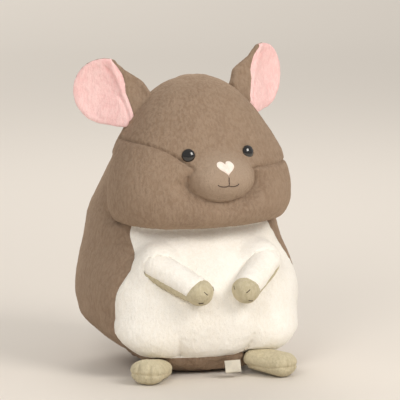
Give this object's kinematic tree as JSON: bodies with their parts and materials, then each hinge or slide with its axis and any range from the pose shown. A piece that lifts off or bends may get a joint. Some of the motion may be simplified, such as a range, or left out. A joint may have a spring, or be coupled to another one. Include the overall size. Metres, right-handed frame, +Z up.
{
  "type": "stuffed mouse toy",
  "caption": "Sitting stuffed mouse with large cupped ears, overhanging cheeks, short arms and feet, a zipped base and a press-to-talk voice module inside.",
  "frame": {"origin": "on the body's vertical axis, on the resting face of the base panel", "axes": "+Z up, -Y the way the toy faces, +X its left side"},
  "size_m": [0.2738, 0.3385, 0.3752],
  "materials": {
    "grey_minky": "short brushed pile",
    "white_minky": "short brushed pile",
    "khaki_minky": "short brushed pile",
    "pink_velboa": "fine short pile",
    "polyfill": "loose polyester fibre",
    "nose_felt": "brushed felt",
    "dark_thread": "twisted embroidery thread",
    "eye_plastic": "polished",
    "washer_plastic": "moulded",
    "label_satin": "woven satin",
    "zip_fabric": "twill tape",
    "zip_nylon": "moulded nylon",
    "zip_metal": "plated",
    "pouch_fabric": "plain weave",
    "case_plastic": "fine spark texture",
    "button_plastic": "moulded",
    "board_green": "solder mask",
    "chip_black": "moulded",
    "plated_steel": "plated",
    "cone_paper": "treated cone",
    "cell_jacket": "printed sleeve without lettering",
    "lead_wire": "insulated wire"
  },
  "bodies": {
    "torso": {"body_stuffing": "polyfill", "head_stuffing": "polyfill", "forehead_panel": "grey_minky", "cheek_panel": "grey_minky", "back_panel_left": "grey_minky", "back_panel_right": "grey_minky", "belly_panel": "white_minky", "thigh_panel_left": "white_minky", "thigh_panel_right": "white_minky", "base_panel": "grey_minky", "nose_heart": "nose_felt", "mouth_stitching": "dark_thread", "eye_left": "eye_plastic", "eye_right": "eye_plastic", "eye_washers": "washer_plastic", "care_label": "label_satin", "zip_tape": "zip_fabric", "zip_teeth": "zip_nylon", "module_pouch": "pouch_fabric", "case_front": "case_plastic", "case_back": "case_plastic", "battery_door": "case_plastic", "case_screws": "plated_steel", "circuit_board": "board_green", "board_parts": "chip_black", "speaker_frame": "plated_steel", "speaker_magnet": "plated_steel", "speaker_cone": "cone_paper", "speaker_leads": "lead_wire", "battery_cells": "cell_jacket", "battery_contacts": "plated_steel", "button_spring": "plated_steel", "tact_switch": "chip_black", "power_switch_body": "chip_black", "microphone": "plated_steel"},
    "zip_runner": {"zip_slider": "zip_metal", "zip_pull": "zip_metal"},
    "talk_button": {"press_button": "button_plastic"},
    "power_knob": {"power_switch_knob": "case_plastic"},
    "tail": {"tail_skin": "grey_minky", "tail_stuffing": "polyfill"},
    "ear_left": {"ear_outer_left": "grey_minky", "ear_filling_left": "polyfill", "ear_inner_left": "pink_velboa"},
    "arm_left": {"arm_sleeve_left": "white_minky", "arm_underside_left": "khaki_minky", "arm_stuffing_left": "polyfill"},
    "foot_left": {"foot_upper_left": "khaki_minky", "foot_sole_left": "khaki_minky", "foot_stuffing_left": "polyfill"},
    "ear_right": {"ear_outer_right": "grey_minky", "ear_filling_right": "polyfill", "ear_inner_right": "pink_velboa"},
    "arm_right": {"arm_sleeve_right": "white_minky", "arm_underside_right": "khaki_minky", "arm_stuffing_right": "polyfill"},
    "foot_right": {"foot_upper_right": "khaki_minky", "foot_sole_right": "khaki_minky", "foot_stuffing_right": "polyfill"}
  },
  "joints": [
    {"name": "ear_left_fold", "type": "hinge", "parent": "torso", "child": "ear_left", "pos_m": [0.07153, 0.0035, 0.314], "axis": [-0.4586, -0.3533, 0.8154], "range_deg": [-20, 20], "stiffness_Nm_per_rad": 0.12},
    {"name": "arm_left_hug", "type": "hinge", "parent": "torso", "child": "arm_left", "pos_m": [0.066, -0.08, 0.131], "axis": [-0.3344, -0.1967, 0.9217], "range_deg": [0, 60], "stiffness_Nm_per_rad": 0.3},
    {"name": "foot_left_lift", "type": "hinge", "parent": "torso", "child": "foot_left", "pos_m": [0.06403, -0.08195, 0.0115], "axis": [-0.788, -0.6157, 0], "range_deg": [0, 15], "stiffness_Nm_per_rad": 0.3},
    {"name": "ear_right_fold", "type": "hinge", "parent": "torso", "child": "ear_right", "pos_m": [-0.07069, -0.01145, 0.314], "axis": [-0.522, 0.2502, -0.8154], "range_deg": [-20, 20], "stiffness_Nm_per_rad": 0.12},
    {"name": "arm_right_hug", "type": "hinge", "parent": "torso", "child": "arm_right", "pos_m": [-0.066, -0.08, 0.131], "axis": [-0.3344, 0.1967, -0.9217], "range_deg": [0, 60], "stiffness_Nm_per_rad": 0.3},
    {"name": "foot_right_lift", "type": "hinge", "parent": "torso", "child": "foot_right", "pos_m": [-0.06403, -0.08195, 0.0115], "axis": [-0.788, 0.6157, 0], "range_deg": [0, 15], "stiffness_Nm_per_rad": 0.3},
    {"name": "tail_wag", "type": "hinge", "parent": "torso", "child": "tail", "pos_m": [0, 0.133, 0.044], "axis": [0, 0, 1], "range_deg": [-25, 25], "stiffness_Nm_per_rad": 0.3},
    {"name": "zip_run", "type": "slide", "parent": "torso", "child": "zip_runner", "axis": [1, 0, 0], "range_m": [0, 0.078]},
    {"name": "button_press", "type": "slide", "parent": "torso", "child": "talk_button", "axis": [0, 1, 0], "range_m": [0, 0.002], "stiffness_N_per_m": 600, "deforming": ["button_spring"]},
    {"name": "power_slide", "type": "slide", "parent": "torso", "child": "power_knob", "axis": [0, 0, 1], "range_m": [0, 0.005]}
  ]
}
